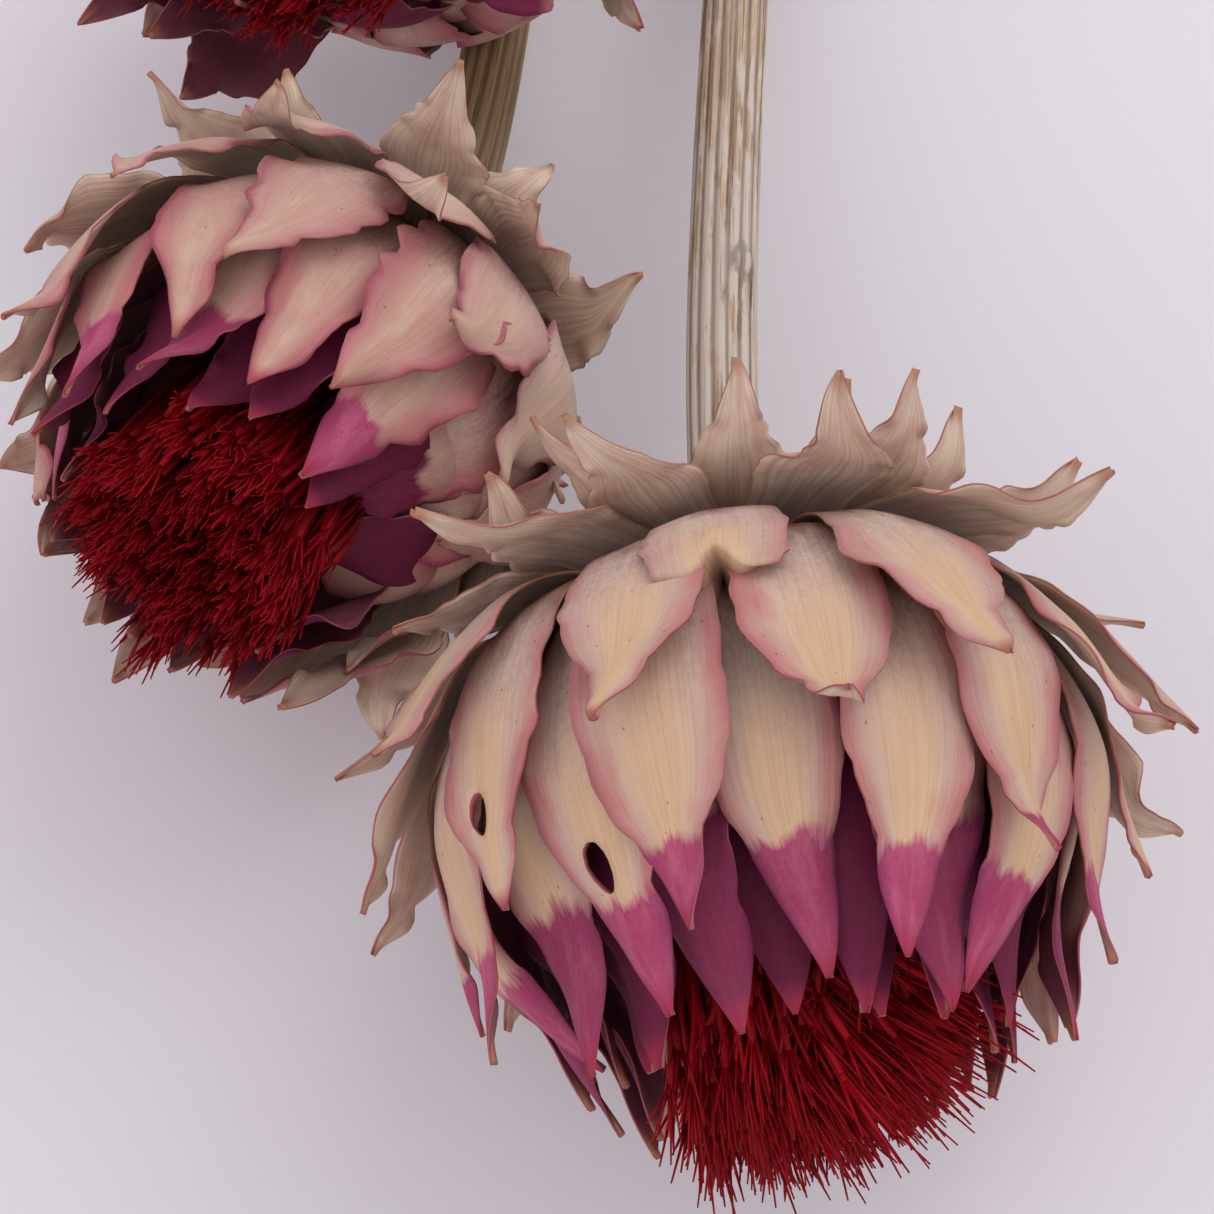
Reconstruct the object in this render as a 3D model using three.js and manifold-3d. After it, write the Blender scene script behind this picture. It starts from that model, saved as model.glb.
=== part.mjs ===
// A bunch of three dried artichoke flowers lying on a table, built in millimetres with +Z up.
// Each flower is a cut stem, a heart, rows of bracts round the heart and a tuft of florets in its mouth.
// The origin is the middle of the bunch's footprint, on the table.
import * as THREE from "three";
import { mergeVertices } from "three/addons/utils/BufferGeometryUtils.js";
import Module from "manifold-3d";

const wasm = await Module();
wasm.setup();

// ---- Driving dimensions ----------------------------------------------------------------------

const TOUCH_GAP = 0.3; // between solids that touch on the real flower
const FACETS = [0.1, 0.06, 0.03, 0.01]; // the smallest detail that a joined solid keeps, at best
const BRACT_THICKNESS = 1.2;
const STEM_RADIUS = 6.2;
const STEM_SIDES = 10;
const STEM_STEPS = 18;
const HEAD_SIDES = 16; // facets round the heart, the collars and the tuft
const BRACTS_PER_ROW = 13;
const GOLDEN_ANGLE = Math.PI * (3 - Math.sqrt(5)); // a flower sets each bract this far round from the last

const HEART_WALL = 1.2; // from the line of bract bases in to the heart
const HEART_TOP = 26;
const HEART_RIM_RADIUS = 25.5;
const COLLAR_THICKNESS = 1.8;
const COLLAR_LENGTH = 2.4;

const TUFT_BASE_RADIUS = 22;
const TUFT_BELLY_RADIUS = 27;
const TUFT_WAIST_RADIUS = 20;
const TUFT_FAN_RADIUS = 28;

const BELLY_HEIGHT = 30; // from the stem joint to the widest part of a head
const BODY_RADIUS = 53; // of a full-size head, without its spreading tips
const BRACT_BED = 13; // pressed bracts between a head's body and the table
const PLANE_GAP = 0.2; // between a bract and the table, stem or next head that presses it
const LIFT_FROM = 0.27; // bracts above this level lie on other pressed bracts
const LAYER_LIFT = 15; // so they keep this much more of that gap for each level
const PRESS_STEP = THREE.MathUtils.degToRad(3);
const PRESS_MOST = THREE.MathUtils.degToRad(96);
const HINGE_SHARE = 0.35; // how much of a pressed bract's turn is at its shoulder
const REFLEXED = 0.25; // bracts below this level may also be pressed back, towards the stem

const STEM_CUT_Y = 330; // how far behind the front head's belly the stems are cut
const STEM_CUT_X = -38; // of the outermost cut end, beside the front head's belly
const STEM_APART = 11; // between two stems at their cut ends
const STEM_LEVEL_RUN = 110; // the stretch that lies flat before the cut

// One bract's outline from its base to its tip, from the stem (level 0) to the mouth (level 1).
// Points are [radius, height] from the stem joint; widths are at the first four, the tip's being 0.
const LEVELS = [
  {
    level: 0,
    path: [[9.5, 2.4], [20, 1], [30, 0], [36, -3], [43, -12]],
    widths: [4, 8, 10, 6],
  },
  {
    level: 0.145,
    path: [[11.5, 3.5], [27, 3], [39, 2.5], [46, 0], [53, -6]],
    widths: [5, 13, 17, 8.5],
  },
  {
    level: 0.285,
    path: [[15, 6], [34, 6.5], [48, 9], [58, 12], [71, 14]],
    widths: [6, 16, 21, 9],
  },
  {
    level: 0.35,
    path: [[17.5, 8], [39, 11], [53, 21], [63, 35], [70, 44]],
    widths: [6.5, 17, 22, 9],
  },
  {
    level: 0.45,
    path: [[20, 9.7], [42, 14], [54.5, 29], [62, 46.5], [67, 55]],
    widths: [7.5, 18, 22, 8.5],
  },
  {
    level: 0.57,
    path: [[22, 12], [43, 19], [54, 43], [50.5, 66], [47, 80]],
    widths: [8, 18, 22, 9.5],
  },
  {
    level: 0.715,
    path: [[24.5, 15.5], [41, 24], [49, 49], [43, 69], [36, 89]],
    widths: [8, 16, 20, 12],
  },
  {
    level: 0.855,
    path: [[26.5, 19.5], [38, 29], [42, 53], [36, 72], [31, 90]],
    widths: [7.5, 14, 17, 11],
  },
  {
    level: 1,
    path: [[27.5, 24], [33, 37], [33, 56], [28, 72], [26, 87]],
    widths: [7, 11, 13, 9],
  },
];

// The three flowers. size is a share of the full-size head, axis the way its mouth points,
// first the level of its outermost bract, roll where that bract grows, tuft how far its florets
// stand above the heart, and neck the straight stretch under the head. seat is the place of its
// stem in the row of cut ends. bearing and apart say where it lies from the flower before it.
const FLOWERS = [
  {
    name: "front",
    size: 1,
    rows: 7,
    first: 0,
    axis: [0.107, -0.99, 0.089],
    roll: 293.4,
    tuft: 76,
    neck: 55,
    seat: 2,
  },
  {
    name: "left",
    size: 0.86,
    rows: 5,
    first: 0.145,
    axis: [-0.39, -0.775, 0.497],
    roll: 70,
    tuft: 70,
    neck: 38,
    seat: 0,
    bearing: 137.5,
    apart: -2,
  },
  {
    name: "back",
    size: 0.9,
    rows: 4,
    first: 0.145,
    axis: [-0.4, -0.76, 0.51],
    roll: 140,
    tuft: 62,
    neck: 30,
    seat: 1,
    bearing: 86,
    apart: 19,
  },
];

// ---- Solids ----------------------------------------------------------------------------------

// A closed geometry as a manifold-3d solid, with its shared vertices merged.
function solidFrom(geometry) {
  const bare = geometry.clone();
  bare.deleteAttribute("normal");
  bare.deleteAttribute("uv");
  const merged = mergeVertices(bare, 1e-4);
  return new wasm.Manifold(
    new wasm.Mesh({
      numProp: 3,
      vertProperties: merged.attributes.position.array,
      triVerts: new Uint32Array(merged.index.array),
    }),
  );
}

// A solid of revolution about +Z, or a ring, from [radius, height] points.
function turned(points, sides = HEAD_SIDES) {
  const outline = points.map(([radius, height]) => new THREE.Vector2(radius, height));
  return solidFrom(new THREE.LatheGeometry(outline, sides).rotateX(Math.PI / 2));
}

// Whether each edge still lies between two faces when vertices at one place are merged.
function staysClosed(solid) {
  const { vertProperties, triVerts } = solid.getMesh();
  const key = (vertex) =>
    [0, 1, 2].map((axis) => vertProperties[3 * vertex + axis].toFixed(3)).join(" ");
  const uses = new Map();
  for (let i = 0; i < triVerts.length; i += 1) {
    const next = i % 3 === 2 ? i - 2 : i + 1;
    const edge = [key(triVerts[i]), key(triVerts[next])].sort().join("/");
    uses.set(edge, (uses.get(edge) ?? 0) + 1);
  }
  return [...uses.values()].every((count) => count === 2);
}

// The largest body of a solid, with as few facets as leave it closed.
function cleaned(solid) {
  const candidates = FACETS.map((facet) => {
    const bodies = solid.asOriginal().simplify(facet).decompose();
    return bodies.sort((a, b) => b.volume() - a.volume())[0];
  });
  return candidates.find(staysClosed) ?? candidates[0];
}

// ---- Bract outlines --------------------------------------------------------------------------

// The bract's points and widths at any level, between the two nearest of LEVELS.
function outlineAt(level) {
  const above = Math.max(1, LEVELS.findIndex((entry) => entry.level >= level - 1e-9));
  const [low, high] = [LEVELS[above - 1], LEVELS[above]];
  const share = (level - low.level) / (high.level - low.level);
  const mix = (a, b) => a + (b - a) * share;
  return {
    path: low.path.map(([radius, height], i) => [
      mix(radius, high.path[i][0]),
      mix(height, high.path[i][1]),
    ]),
    widths: [...low.widths.map((width, i) => mix(width, high.widths[i])), 0],
  };
}

// Where a bract's base sits on the heart at a level, and which way the heart's side runs there.
function baseLine(level) {
  const step = 0.02;
  const [from, to] = [outlineAt(Math.max(0, level - step)), outlineAt(Math.min(1, level + step))];
  const [run, rise] = [to.path[0][0] - from.path[0][0], to.path[0][1] - from.path[0][1]];
  return { base: outlineAt(level).path[0], along: new THREE.Vector2(run, rise).normalize() };
}

// [radius, height] turned about a pivot, so that a positive angle closes the bract to the mouth.
function hinged([radius, height], [pivotRadius, pivotHeight], angle) {
  const [dr, dh] = [radius - pivotRadius, height - pivotHeight];
  const [cos, sin] = [Math.cos(angle), Math.sin(angle)];
  return [pivotRadius + dr * cos - dh * sin, pivotHeight + dr * sin + dh * cos];
}

// The path turned beyond its shoulder, and again beyond its widest point.
function bentPath(path, angle) {
  const raised = path.map((point, i) =>
    i < 2 ? point : hinged(point, path[1], angle * HINGE_SHARE),
  );
  return raised.map((point, i) =>
    i < 3 ? point : hinged(point, raised[2], angle * (1 - HINGE_SHARE)),
  );
}

// A point of the head's own frame, from radius and height at an azimuth, and a step sideways.
function placed([radius, height], azimuth, sideways = 0) {
  const [cos, sin] = [Math.cos(azimuth), Math.sin(azimuth)];
  const across = radius * sin + sideways * cos;
  return new THREE.Vector3(radius * cos - sideways * sin, across, height);
}

// Whether both edges of the bract keep their distance from every plane that presses on the head.
function clearsPlanes(path, widths, azimuth, planes, level) {
  const lift = LAYER_LIFT * Math.max(0, level - LIFT_FROM);
  const distance = PLANE_GAP + BRACT_THICKNESS + lift;
  return planes.every(({ normal, offset }) =>
    path.every((point, i) =>
      [-0.5, 0.5].every(
        (side) => normal.dot(placed(point, azimuth, side * widths[i])) >= offset + distance,
      ),
    ),
  );
}

// The path with the least bend that clears what lies against the head.
function pressedPath(outline, azimuth, planes, level) {
  for (let angle = 0; angle <= PRESS_MOST; angle += PRESS_STEP) {
    const ways = level < REFLEXED ? [angle, -angle] : [angle];
    for (const way of ways) {
      const path = bentPath(outline.path, way);
      if (clearsPlanes(path, outline.widths, azimuth, planes, level)) return path;
    }
  }
  return bentPath(outline.path, PRESS_MOST);
}

// ---- Bracts ----------------------------------------------------------------------------------

// A tapering plate along the path, with four corners at each point. extra makes it bigger all round.
function bractSolid(path, widths, azimuth, extra) {
  const positions = [];
  path.forEach((point, i) => {
    const before = path[Math.max(0, i - 1)];
    const after = path[Math.min(path.length - 1, i + 1)];
    const along = new THREE.Vector2(after[0] - before[0], after[1] - before[1]).normalize();
    const atTip = i === path.length - 1;
    const thickness = (atTip ? 0.5 : 1) * BRACT_THICKNESS + 2 * extra;
    const width = Math.max(widths[i], 1) + 2 * extra;
    const end = atTip ? extra : 0;
    for (const [face, side] of [[0.5, -0.5], [0.5, 0.5], [-0.5, 0.5], [-0.5, -0.5]]) {
      const corner = [
        point[0] - along.y * thickness * face + along.x * end,
        point[1] + along.x * thickness * face + along.y * end,
      ];
      positions.push(...placed(corner, azimuth, side * width).toArray());
    }
  });
  const last = (path.length - 1) * 4;
  const faces = [[0, 1, 2], [0, 2, 3], [last, last + 2, last + 1], [last, last + 3, last + 2]];
  for (let ring = 0; ring < last; ring += 4) {
    for (let k = 0; k < 4; k += 1) {
      const [a, b] = [ring + k, ring + ((k + 1) % 4)];
      faces.push([a, b + 4, b], [a, a + 4, b + 4]);
    }
  }
  const geometry = new THREE.BufferGeometry();
  geometry.setAttribute("position", new THREE.Float32BufferAttribute(positions, 3));
  geometry.setIndex(faces.flat());
  return solidFrom(geometry);
}

// The ring of rind that one row of bracts grows from.
function collarSolid({ base, along }, extra) {
  const [half, deep] = [COLLAR_LENGTH / 2 + extra, COLLAR_THICKNESS / 2 + extra];
  const corners = [[-half, -deep], [-half, deep], [half, deep], [half, -deep], [-half, -deep]];
  const ring = corners.map(([run, out]) => [
    base[0] + along.x * run + along.y * out,
    base[1] + along.y * run - along.x * out,
  ]);
  return turned(ring, BRACTS_PER_ROW);
}

// One row: thirteen bracts, each a golden angle on from the last, joined by their collar.
function bractRow(flower, row, planes, extra) {
  const levelAt = (share) => flower.first + (1 - flower.first) * share;
  const line = baseLine(levelAt((row + 0.5) / flower.rows));
  const count = flower.rows * BRACTS_PER_ROW;
  let joined = collarSolid(line, extra);
  for (let i = row * BRACTS_PER_ROW; i < (row + 1) * BRACTS_PER_ROW; i += 1) {
    const level = levelAt(i / (count - 1));
    const azimuth = THREE.MathUtils.degToRad(flower.roll) + i * GOLDEN_ANGLE;
    const outline = outlineAt(level);
    outline.path[0] = line.base;
    const path = pressedPath(outline, azimuth, planes, level);
    joined = joined.add(bractSolid(path, outline.widths, azimuth, extra));
  }
  return joined;
}

// ---- Heart, tuft and stem --------------------------------------------------------------------

// The receptacle: the saucer that carries the bracts on its side and the florets on its top.
function heartSolid(extra) {
  const side = LEVELS.map(({ level }) => {
    const { base, along } = baseLine(level);
    const wall = HEART_WALL - extra;
    return [base[0] - along.y * wall, base[1] + along.x * wall];
  });
  const foot = [[0, TOUCH_GAP], [STEM_RADIUS, TOUCH_GAP]];
  const rim = [HEART_RIM_RADIUS + extra, HEART_TOP + extra];
  return turned([...foot, ...side, rim, [0, HEART_TOP + extra]]);
}

// The outer shape of the florets: packed between the bracts, drawn in at the mouth, then fanned.
function tuftSolid(flower, extra) {
  const foot = HEART_TOP + TOUCH_GAP;
  const shape = [
    [0, 0],
    [TUFT_BASE_RADIUS, 0],
    [TUFT_BELLY_RADIUS, 0.15],
    [TUFT_BELLY_RADIUS, 0.36],
    [TUFT_WAIST_RADIUS, 0.7],
    [TUFT_FAN_RADIUS, 0.93],
    [0, 1],
  ];
  const outline = shape.map(([radius, share]) => [
    radius === 0 ? 0 : radius + extra,
    foot + share * (flower.tuft + extra),
  ]);
  return turned(outline);
}

function stemCurve(flower) {
  const cut = new THREE.Vector3(
    STEM_CUT_X + flower.seat * (2 * STEM_RADIUS + STEM_APART),
    STEM_CUT_Y,
    STEM_RADIUS,
  );
  const neck = flower.joint.clone().addScaledVector(flower.out, -flower.neck);
  const level = cut.clone().add(new THREE.Vector3(0, -STEM_LEVEL_RUN, 0));
  return new THREE.CubicBezierCurve3(flower.joint, neck, level, cut);
}

function stemSolid(flower, extra) {
  const section = new THREE.Shape();
  for (let i = 0; i < STEM_SIDES; i += 1) {
    const angle = (i / STEM_SIDES) * Math.PI * 2;
    const reach = STEM_RADIUS + extra;
    const [x, y] = [Math.cos(angle) * reach, Math.sin(angle) * reach];
    if (i === 0) section.moveTo(x, y);
    else section.lineTo(x, y);
  }
  section.closePath();
  return solidFrom(
    new THREE.ExtrudeGeometry(section, {
      steps: STEM_STEPS,
      extrudePath: flower.curve,
      bevelEnabled: false,
    }),
  );
}

// ---- Places ----------------------------------------------------------------------------------

// Each head's belly: the first over the origin, each other one beside the head before it.
function placeFlowers() {
  FLOWERS.forEach((flower, i) => {
    flower.out = new THREE.Vector3(...flower.axis).normalize();
    flower.radius = BODY_RADIUS * flower.size;
    flower.belly = new THREE.Vector3(0, 0, flower.radius + BRACT_BED * flower.size);
    if (i > 0) {
      const near = FLOWERS[i - 1];
      const reach = near.radius + flower.radius + flower.apart;
      const level = Math.sqrt(reach ** 2 - (flower.belly.z - near.belly.z) ** 2);
      const bearing = THREE.MathUtils.degToRad(flower.bearing);
      flower.belly.x = near.belly.x + Math.cos(bearing) * level;
      flower.belly.y = near.belly.y + Math.sin(bearing) * level;
    }
    const drop = BELLY_HEIGHT * flower.size;
    flower.joint = flower.belly.clone().addScaledVector(flower.out, -drop);
    flower.curve = stemCurve(flower);
    flower.frame = headFrame(flower);
  });
}

// The head's own frame: +Z out of its mouth, +Y the most upward side, +X to the side.
function headFrame(flower) {
  const top = new THREE.Vector3(0, 0, 1).addScaledVector(flower.out, -flower.out.z).normalize();
  const side = new THREE.Vector3().crossVectors(top, flower.out);
  return new THREE.Matrix4()
    .makeBasis(side, top, flower.out)
    .setPosition(flower.joint)
    .scale(new THREE.Vector3(flower.size, flower.size, flower.size));
}

// The plane between two heads that lean together, facing the first of them.
function planeBetween(flower, other) {
  const away = flower.belly.clone().sub(other.belly);
  const spare = away.length() - flower.radius - other.radius;
  const normal = away.normalize();
  const point = other.belly.clone().addScaledVector(normal, other.radius + spare / 2);
  return { point, normal };
}

// The plane that touches another flower's stem where it passes nearest to this head.
function planeOnStem(flower, other) {
  const near = other.curve
    .getSpacedPoints(60)
    .reduce((best, point) =>
      point.distanceTo(flower.belly) < best.distanceTo(flower.belly) ? point : best,
    );
  const normal = flower.belly.clone().sub(near).normalize();
  return { point: near.clone().addScaledVector(normal, STEM_RADIUS), normal };
}

// What presses on a head, in its own frame: a point clears a plane if normal . point > offset.
function pressingPlanes(flower) {
  const others = FLOWERS.filter((other) => other !== flower);
  const table = { point: new THREE.Vector3(), normal: new THREE.Vector3(0, 0, 1) };
  const planes = [table];
  others.forEach((other) => planes.push(planeBetween(flower, other), planeOnStem(flower, other)));
  const inverse = flower.frame.clone().invert();
  return planes.map(({ point, normal }) => {
    const ownNormal = normal.clone().transformDirection(inverse);
    return { normal: ownNormal, offset: ownNormal.dot(point.clone().applyMatrix4(inverse)) };
  });
}

// ---- The bunch -------------------------------------------------------------------------------

const MATERIALS = {
  stem: new THREE.MeshStandardMaterial({ color: 0xb09a7c, roughness: 0.85, metalness: 0 }),
  heart: new THREE.MeshStandardMaterial({ color: 0x9b8468, roughness: 0.9, metalness: 0 }),
  outerBract: new THREE.MeshStandardMaterial({ color: 0xc6a78c, roughness: 0.7, metalness: 0 }),
  innerBract: new THREE.MeshStandardMaterial({ color: 0x9a3c5c, roughness: 0.6, metalness: 0 }),
  floret: new THREE.MeshStandardMaterial({ color: 0x7e0614, roughness: 0.65, metalness: 0 }),
};

const group = new THREE.Group();
const taken = [];

// Adds a solid to the bunch, less whatever the solids before it take up with their touching gap.
// make(extra) builds it in the frame given; a cut that leaves loose scraps keeps the largest body.
function addPiece(name, material, frame, make) {
  const scale = frame.getMaxScaleOnAxis();
  const inPlace = (extra) => make(extra / scale).transform(frame.toArray());
  const cut = taken.reduce((solid, other) => solid.subtract(other), inPlace(0));
  const { vertProperties, triVerts } = cleaned(cut).getMesh();
  const geometry = new THREE.BufferGeometry();
  geometry.setAttribute("position", new THREE.BufferAttribute(vertProperties, 3));
  geometry.setIndex(new THREE.BufferAttribute(triVerts, 1));
  const mesh = new THREE.Mesh(geometry, material);
  mesh.name = name;
  group.add(mesh);
  taken.push(inPlace(TOUCH_GAP));
}

placeFlowers();
const world = new THREE.Matrix4();
for (const flower of FLOWERS) {
  const { name, frame } = flower;
  addPiece(`${name}_stem`, MATERIALS.stem, world, (extra) => stemSolid(flower, extra));
  addPiece(`${name}_heart`, MATERIALS.heart, frame, heartSolid);
}
for (const flower of FLOWERS) {
  const { name, frame } = flower;
  addPiece(`${name}_floret_tuft`, MATERIALS.floret, frame, (extra) => tuftSolid(flower, extra));
}
for (const flower of FLOWERS) {
  const { name, frame } = flower;
  const planes = pressingPlanes(flower);
  for (let row = flower.rows - 1; row >= 0; row -= 1) {
    const material = row >= flower.rows - 2 ? MATERIALS.innerBract : MATERIALS.outerBract;
    const make = (extra) => bractRow(flower, row, planes, extra);
    addPiece(`${name}_bract_row_${row + 1}`, material, frame, make);
  }
}

const extent = new THREE.Box3().setFromObject(group, true);
const middle = extent.getCenter(new THREE.Vector3());
group.children.forEach((mesh) => mesh.geometry.translate(-middle.x, -middle.y, -extent.min.z));

export default group;
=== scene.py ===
# %% [markdown]
# # A bunch of dried artichoke flowers
#
# Three artichoke flowers were cut, dried and laid on a table with their stems together. Each head is a
# heart on the end of a stem. Bracts grow from the side of the heart in a spiral, like the scales of a
# pine cone, and a tuft of crimson florets fills the mouth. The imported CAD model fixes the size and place
# of every piece. This lesson grows the real shapes and finishes round that frame.

import math
import random

import bmesh
import bpy
from mathutils import Matrix, Vector, noise


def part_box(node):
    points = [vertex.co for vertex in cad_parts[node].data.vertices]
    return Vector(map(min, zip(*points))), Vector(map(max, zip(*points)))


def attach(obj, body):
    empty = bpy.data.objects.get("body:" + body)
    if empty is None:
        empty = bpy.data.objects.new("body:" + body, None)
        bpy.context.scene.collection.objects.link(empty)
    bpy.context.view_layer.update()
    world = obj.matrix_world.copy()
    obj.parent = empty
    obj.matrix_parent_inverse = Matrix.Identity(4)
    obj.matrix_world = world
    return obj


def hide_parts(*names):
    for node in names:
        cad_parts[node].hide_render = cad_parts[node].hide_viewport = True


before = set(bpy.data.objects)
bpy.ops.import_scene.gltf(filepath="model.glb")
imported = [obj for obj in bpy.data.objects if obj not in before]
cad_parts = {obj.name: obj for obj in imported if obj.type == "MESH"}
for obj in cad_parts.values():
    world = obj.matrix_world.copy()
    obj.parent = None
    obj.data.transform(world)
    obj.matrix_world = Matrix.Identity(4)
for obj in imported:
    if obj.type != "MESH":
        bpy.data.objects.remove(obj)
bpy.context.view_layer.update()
ROOT = "root"
MM = 0.001  # the CAD model is drawn in millimetres and Blender works in metres
OFF_TABLE = 0.4 * MM  # the lowest that the outer face of a bract may come

# %% [markdown]
# ## How a bract grows
#
# A bract's middle line runs from its base on the heart, over a shoulder, to its widest part, then a neck
# and a tip. The line changes from the outermost bract, level 0, which curls back towards the stem, to the
# innermost, level 1, which stands round the florets. Nine measured lines are enough: the rest are
# blended from their two neighbours. Points are a radius from the head's axis and a height above the joint
# with the stem, in millimetres on a full-size head. These are the CAD model's own lines, so each bract
# falls where the collision model has it.

# %% Bract outlines by level
OUTLINES = [
    # level, (radius, height) of base, shoulder, widest part, neck and tip, then the first four's widths
    (0.0, [(9.5, 2.4), (20, 1), (30, 0), (36, -3), (43, -12)], [4, 8, 10, 6]),
    (0.145, [(11.5, 3.5), (27, 3), (39, 2.5), (46, 0), (53, -6)], [5, 13, 17, 8.5]),
    (0.285, [(15, 6), (34, 6.5), (48, 9), (58, 12), (71, 14)], [6, 16, 21, 9]),
    (0.35, [(17.5, 8), (39, 11), (53, 21), (63, 35), (70, 44)], [6.5, 17, 22, 9]),
    (0.45, [(20, 9.7), (42, 14), (54.5, 29), (62, 46.5), (67, 55)], [7.5, 18, 22, 8.5]),
    (0.57, [(22, 12), (43, 19), (54, 43), (50.5, 66), (47, 80)], [8, 18, 22, 9.5]),
    (0.715, [(24.5, 15.5), (41, 24), (49, 49), (43, 69), (36, 89)], [8, 16, 20, 12]),
    (0.855, [(26.5, 19.5), (38, 29), (42, 53), (36, 72), (31, 90)], [7.5, 14, 17, 11]),
    (1.0, [(27.5, 24), (33, 37), (33, 56), (28, 72), (26, 87)], [7, 11, 13, 9]),
]
BRACTS_PER_ROW = 13
GOLDEN_ANGLE = math.pi * (3 - math.sqrt(5))  # each bract grows this far round from the last one


def mix(a, b, share):
    return a + (b - a) * share


def smooth(low, high, value):
    """0 below low, 1 above high, and an even S-curve between."""
    share = min(1, max(0, (value - low) / (high - low)))
    return share * share * (3 - 2 * share)


def outline_at(level):
    """The middle line and widths of the bract that grows at a level."""
    upper = next(i for i, line in enumerate(OUTLINES) if i and line[0] >= level - 1e-9)
    (low, line_a, widths_a), (high, line_b, widths_b) = OUTLINES[upper - 1], OUTLINES[upper]
    share = (level - low) / (high - low)
    line = [Vector((mix(a[0], b[0], share), mix(a[1], b[1], share))) for a, b in zip(line_a, line_b)]
    return line, [mix(a, b, share) for a, b in zip(widths_a, widths_b)] + [0.8]


print("bract outlines:", len(OUTLINES), "levels")

# %% [markdown]
# ## Where each head is
#
# The heart is a turned solid, so the middle of its box says where its foot is once the way it points is
# known. The foot is the joint with the stem. Everything else on the head is placed from that joint, in the
# head's own frame: +Z out of the mouth and +Y the side that faces up.

# %% Find the three heads
HEART_PROFILE = [(0, 0.3), (6.2, 0.3), (8.9, 3.45), (10.8, 4.5), (14.3, 6.95), (16.8, 9), (19.2, 10.6)]
HEART_PROFILE += [(21, 12.7), (23.5, 16.1), (25.4, 19.9), (26.3, 24.3), (25.5, 26), (0, 26)]
BELLY_HEIGHT = 30
BODY_RADIUS = 53
STEM_RADIUS = 6.2
STEM_LEVEL_RUN = 110


class Flower:
    """One flower of the bunch, with the numbers that make it differ from the others."""

    def __init__(self, name, size, axis, **traits):
        self.name, self.size = name, size
        vars(self).update(traits)
        self.roll = math.radians(self.roll)
        self.out = Vector(axis).normalized()
        low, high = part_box(f"{name}_heart")
        self.joint = (low + high) / 2 - self.heart_middle() * size * MM
        top = (Vector((0, 0, 1)) - self.out * self.out.z).normalized()
        side = top.cross(self.out)
        turn = Matrix((side, top, self.out)).transposed().to_4x4()
        self.place = Matrix.Translation(self.joint) @ turn @ Matrix.Scale(size * MM, 4)
        self.belly = self.joint + self.out * BELLY_HEIGHT * size * MM
        self.radius = BODY_RADIUS * size * MM
        self.stem_line = self.find_stem()

    def heart_middle(self):
        """From the foot of a turned solid to the middle of its box, for a solid that points along out."""

        def along(share):
            reach = math.sqrt(1 - share * share)
            highest = max(h * share + r * reach for r, h in HEART_PROFILE)
            lowest = min(h * share - r * reach for r, h in HEART_PROFILE)
            return (highest + lowest) / 2

        return Vector([along(share) for share in self.out])

    def find_stem(self):
        """The stem's middle line, from the joint to the cut end that its box shows."""
        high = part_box(f"{self.name}_stem")[1]
        cut = Vector((high.x - STEM_RADIUS * MM, high.y, STEM_RADIUS * MM))
        neck = self.joint - self.out * self.neck * MM
        level = cut - Vector((0, STEM_LEVEL_RUN * MM, 0))
        points = (self.joint, neck, level, cut)

        def at(share):
            weights = (
                (1 - share) ** 3,
                3 * share * (1 - share) ** 2,
                3 * share**2 * (1 - share),
                share**3,
            )
            return sum((p * w for p, w in zip(points, weights)), Vector())

        return at


# breadth widens the bracts and ruffle waves their margins. swept is the share of florets that lie to one
# side, hollow sinks the middle of the tuft, and clumping gathers the tips. fan is the tuft's radius at the
# tips and mouth its radius between the inner bracts. unripe holds back the magenta of the bracts.
EVEN = {"breadth": 1.04, "ruffle": 2.2, "unripe": 0}
EVEN |= {"swept": 0.55, "hollow": 0, "clumping": 5, "fan": 20, "mouth": 16}
FRILLED = {"breadth": 1.12, "ruffle": 4.4, "unripe": 0.2}
FRILLED |= {"swept": 0, "hollow": 0.35, "clumping": 12, "fan": 24, "mouth": 22}
RIPE = {**FRILLED, "breadth": 0.92, "unripe": -0.12}
# rows counts the turns of bracts, first is the level of the outermost one, and roll says where it grows.
# neck is how far from the joint the stem starts to bend, tuft is how far the florets stand above the
# heart, and blush is how pink the bracts are.
FRONT_TRAITS = {"rows": 7, "first": 0, "roll": 293.4, "neck": 55}
FRONT_TRAITS |= {"tuft": 76, "florets": 900, "blush": 0.22, "seed": 11, **EVEN}
LEFT_TRAITS = {"rows": 5, "first": 0.145, "roll": 70, "neck": 38}
LEFT_TRAITS |= {"tuft": 70, "florets": 760, "blush": 0.9, "seed": 22, **FRILLED}
BACK_TRAITS = {"rows": 4, "first": 0.145, "roll": 140, "neck": 30}
BACK_TRAITS |= {"tuft": 62, "florets": 400, "blush": 0.9, "seed": 33, **RIPE}
FLOWERS = [
    Flower("front", 1.0, (0.107, -0.99, 0.089), **FRONT_TRAITS),
    Flower("left", 0.86, (-0.39, -0.775, 0.497), **LEFT_TRAITS),
    Flower("back", 0.9, (-0.4, -0.76, 0.51), **BACK_TRAITS),
]
for flower in FLOWERS:
    print(flower.name, "joint at", [round(c, 4) for c in flower.joint])

# %% [markdown]
# ## What presses on a head
#
# Dried bracts that meet the table, a stem or the next head are bent out of its way. Each of those things
# is treated as a flat plane that the bract stays behind. A bract is turned at its shoulder and again at its
# widest part, a few degrees at a time, until it clears them all.

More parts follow.
